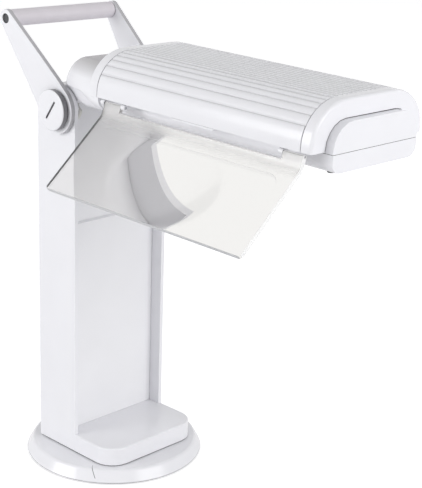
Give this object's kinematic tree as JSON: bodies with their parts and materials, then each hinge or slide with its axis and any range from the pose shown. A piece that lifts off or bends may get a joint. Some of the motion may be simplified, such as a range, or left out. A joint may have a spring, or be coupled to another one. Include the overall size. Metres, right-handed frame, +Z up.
{
  "type": "magnifier task lamp",
  "caption": "Folding desk lamp on a swivel disc: a ribbed fluorescent head tilts into the column, with a carrying handle and a clear hinged magnifier along one edge.",
  "frame": {"origin": "centre of the swivel disc, on the floor under its rubber feet", "axes": "+Z up the column, -Y to the front where the head reaches out, -X to the side with the magnifier"},
  "size_m": [0.1924, 0.3413, 0.3776],
  "materials": {
    "gloss_white": "smooth glossy moulding",
    "panel_white": "smooth glossy moulding",
    "grip_grey": "satin",
    "rubber": "matt",
    "nylon": "satin",
    "steel": "zinc plated",
    "dark_steel": "black oxide",
    "cast_iron": "raw casting",
    "brass": "bright",
    "copper": "enamelled winding",
    "black_plastic": "satin",
    "bright_metal": "polished",
    "tube_white": "phosphor coated",
    "clear": "polished clear"
  },
  "bodies": {
    "base": {"swivel_disc": "gloss_white", "base_weight": "cast_iron", "base_underplate": "steel", "base_screw_1": "steel", "base_screw_2": "steel", "rubber_feet": "rubber", "swivel_spindle": "steel", "spindle_nut": "steel", "swivel_bearing": "nylon"},
    "column": {"column_body": "gloss_white", "front_panel": "panel_white", "top_cover": "gloss_white", "rear_cover": "gloss_white", "rear_screw_1": "dark_steel", "rear_screw_2": "dark_steel", "foot_plate": "steel", "foot_weight": "cast_iron", "foot_screw_1": "dark_steel", "foot_screw_2": "dark_steel", "cord_grommet": "rubber", "ballast_bracket": "steel", "ballast_core": "dark_steel", "ballast_coil": "copper", "interlock_switch": "black_plastic", "friction_washer_left": "nylon", "friction_washer_right": "nylon"},
    "handle": {"handle_arm_left": "gloss_white", "handle_arm_right": "gloss_white", "grip_bar": "grip_grey", "grip_screw_left": "dark_steel", "grip_screw_right": "dark_steel"},
    "knob_left": {"tension_knob_left": "gloss_white", "pivot_bolt_left": "steel"},
    "knob_right": {"tension_knob_right": "gloss_white", "pivot_bolt_right": "steel"},
    "plunger": {"switch_plunger": "nylon"},
    "head": {"lamp_tray": "gloss_white", "lamp_housing": "gloss_white", "hinge_cap": "gloss_white", "near_trim": "gloss_white", "shade_cover": "gloss_white", "far_trim": "gloss_white", "reflector": "bright_metal", "fluorescent_tube": "tube_white", "tube_base": "nylon", "contact_pin_1": "brass", "contact_pin_2": "brass", "lamp_socket": "nylon", "tube_clip": "steel", "housing_screw_1": "dark_steel", "housing_screw_2": "dark_steel", "housing_screw_3": "dark_steel", "housing_screw_4": "dark_steel", "magnifier_catch": "gloss_white", "switch_cam": "nylon", "pivot_nut_left": "steel", "pivot_nut_right": "steel"},
    "magnifier": {"magnifier_sheet": "clear", "magnifier_pin_1": "steel", "magnifier_pin_2": "steel"}
  },
  "joints": [
    {"name": "base_swivel", "type": "hinge", "parent": "base", "child": "column", "pos_m": [0, 0, 0.012], "axis": [0, 0, 1], "continuous": true},
    {"name": "head_tilt", "type": "hinge", "parent": "column", "child": "head", "pos_m": [0, 0.0125, 0.305], "axis": [1, 0, 0], "range_deg": [-10, 88]},
    {"name": "handle_swing", "type": "hinge", "parent": "column", "child": "handle", "pos_m": [0, 0.0125, 0.305], "axis": [1, 0, 0], "range_deg": [-108, 36]},
    {"name": "knob_left_turn", "type": "hinge", "parent": "column", "child": "knob_left", "pos_m": [0, 0.0125, 0.305], "axis": [1, 0, 0], "continuous": true},
    {"name": "knob_right_turn", "type": "hinge", "parent": "column", "child": "knob_right", "pos_m": [0, 0.0125, 0.305], "axis": [1, 0, 0], "continuous": true},
    {"name": "switch_press", "type": "slide", "parent": "column", "child": "plunger", "axis": [0, 0, 1], "range_m": [-0.0031, 0.0004]},
    {"name": "magnifier_swing", "type": "hinge", "parent": "head", "child": "magnifier", "pos_m": [-0.0589, -0.15089, 0.31891], "axis": [0, 0.9997, 0.0244], "range_deg": [-30, 104]}
  ],
  "couplings": [
    {"joint": "switch_press", "follows": "head_tilt", "m_per_rad": -0.001953}
  ]
}
